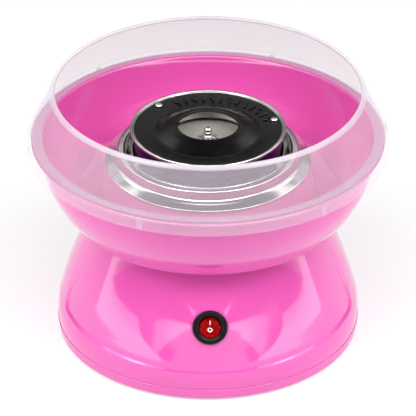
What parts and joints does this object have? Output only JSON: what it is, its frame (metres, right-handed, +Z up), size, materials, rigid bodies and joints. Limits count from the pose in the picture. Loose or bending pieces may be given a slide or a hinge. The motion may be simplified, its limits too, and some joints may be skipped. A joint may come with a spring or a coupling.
{
  "type": "cotton candy machine",
  "caption": "Table-top cotton candy machine with a waisted base, round rocker switch, spinning sugar head, furnace, lift-off bowl and clear splash guard.",
  "frame": {"origin": "on the table, at the centre of the bottom, on the spin axis", "axes": "+Z up along the spin axis; -Y is the front, where the switch is; +X is the right-hand side seen from the front"},
  "size_m": [0.301, 0.301, 0.225],
  "materials": {
    "pink_plastic": "glossy injection-moulded ABS, bright pink",
    "milky_plastic": "translucent milky polypropylene, smooth",
    "polished_steel": "polished stainless steel with spun marks",
    "satin_steel": "spun stainless steel, satin",
    "zinc_steel": "zinc-plated sheet steel",
    "black_bakelite": "black heat-resistant phenolic, satin",
    "black_plastic": "black moulded nylon",
    "red_lens": "translucent red polycarbonate",
    "rubber": "black rubber",
    "ceramic": "white ceramic or mica board",
    "copper": "copper and bronze",
    "board": "green circuit board",
    "heater_alloy": "heat-tinted nickel alloy"
  },
  "bodies": {
    "base": {"base_shell": "pink_plastic", "bottom_plate": "pink_plastic", "foot_1": "rubber", "foot_2": "rubber", "foot_3": "rubber", "foot_4": "rubber", "bottom_screw_1": "zinc_steel", "bottom_screw_2": "zinc_steel", "bottom_screw_3": "zinc_steel", "bottom_screw_4": "zinc_steel", "cord_gland": "black_plastic", "motor_can": "zinc_steel", "motor_end_cap": "black_plastic", "upper_bearing": "copper", "lower_bearing": "copper", "magnet_left": "black_plastic", "magnet_right": "black_plastic", "motor_bridge": "zinc_steel", "motor_grommet_1": "rubber", "motor_grommet_2": "rubber", "motor_grommet_3": "rubber", "motor_screw_1": "zinc_steel", "motor_screw_2": "zinc_steel", "motor_screw_3": "zinc_steel", "heat_barrier": "ceramic", "furnace_pillar_1": "satin_steel", "furnace_pillar_2": "satin_steel", "furnace_pillar_3": "satin_steel", "furnace_pan": "polished_steel", "heating_element": "heater_alloy", "ceramic_post_1": "ceramic", "ceramic_post_2": "ceramic", "ceramic_post_3": "ceramic", "rectifier_board": "board", "bridge_rectifier": "black_plastic", "smoothing_capacitor": "black_plastic", "terminal_block": "ceramic", "thermal_fuse": "ceramic", "mains_lead": "black_plastic", "switch_lead": "black_plastic", "motor_lead": "rubber", "heater_lead": "ceramic", "switch_body": "black_plastic"},
    "rocker": {"switch_rocker": "red_lens"},
    "rotor": {"motor_shaft": "satin_steel", "armature": "copper", "commutator": "copper", "cooling_fan": "black_plastic"},
    "head": {"head_pan": "satin_steel", "sugar_mesh": "heater_alloy", "head_disc": "polished_steel", "head_cover": "black_bakelite", "head_rivet_1": "zinc_steel", "head_rivet_2": "zinc_steel", "hub_washer": "polished_steel", "hub_nut": "polished_steel"},
    "bowl": {"bowl": "pink_plastic", "heat_ring": "polished_steel"},
    "guard": {"splash_guard": "milky_plastic"}
  },
  "joints": [
    {"name": "rocker_tilt", "type": "hinge", "parent": "base", "child": "rocker", "pos_m": [0, -0.11735, 0.06582], "axis": [-1, 0, 0], "range_deg": [0, 18]},
    {"name": "spin", "type": "hinge", "parent": "base", "child": "rotor", "pos_m": [0, 0, 0.07], "axis": [0, 0, 1], "continuous": true},
    {"name": "head_lift", "type": "slide", "parent": "rotor", "child": "head", "axis": [0, 0, 1], "range_m": [0, 0.05]},
    {"name": "bowl_lift", "type": "slide", "parent": "base", "child": "bowl", "axis": [0, 0, 1], "range_m": [0, 0.1]},
    {"name": "guard_lift", "type": "slide", "parent": "bowl", "child": "guard", "axis": [0, 0, 1], "range_m": [0, 0.06]}
  ]
}
